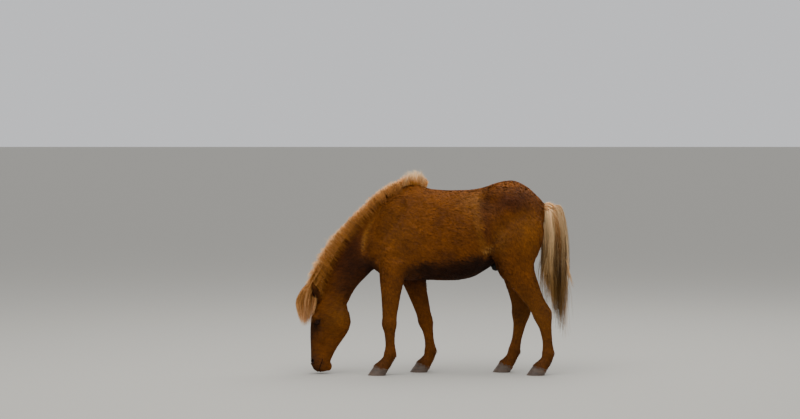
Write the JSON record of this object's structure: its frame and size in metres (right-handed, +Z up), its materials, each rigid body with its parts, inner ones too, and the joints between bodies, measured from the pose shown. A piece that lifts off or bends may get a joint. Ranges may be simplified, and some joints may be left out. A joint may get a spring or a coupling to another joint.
{
  "type": "icelandic horse life-size model",
  "caption": "Life-size still model of a chestnut Icelandic horse grazing, with a light mane and forelock, a long pale tail and dark hooves",
  "frame": {"origin": "middle of the whole model in plan, on the floor under it", "axes": "+Z is up; the horse faces -X, so X runs along its body; its right side is at +Y"},
  "size_m": [2.0102, 0.5468, 1.5094],
  "materials": {
    "coat": "matte",
    "tail_hair": "matte",
    "horn": "matte",
    "dark_skin": "matte",
    "eye": "polished"
  },
  "bodies": {
    "root": {"torso": "coat", "neck": "coat", "head": "coat", "ear_left": "coat", "ear_right": "coat", "eye_left": "eye", "eye_right": "eye", "foreleg_left_forearm": "coat", "foreleg_left_cannon": "coat", "foreleg_left_hoof": "horn", "foreleg_right_forearm": "coat", "foreleg_right_cannon": "coat", "foreleg_right_hoof": "horn", "hindleg_left_gaskin": "coat", "hindleg_left_cannon": "coat", "hindleg_left_hoof": "horn", "hindleg_right_gaskin": "coat", "hindleg_right_cannon": "coat", "hindleg_right_hoof": "horn", "tail": "tail_hair", "sheath": "dark_skin"}
  },
  "joints": []
}
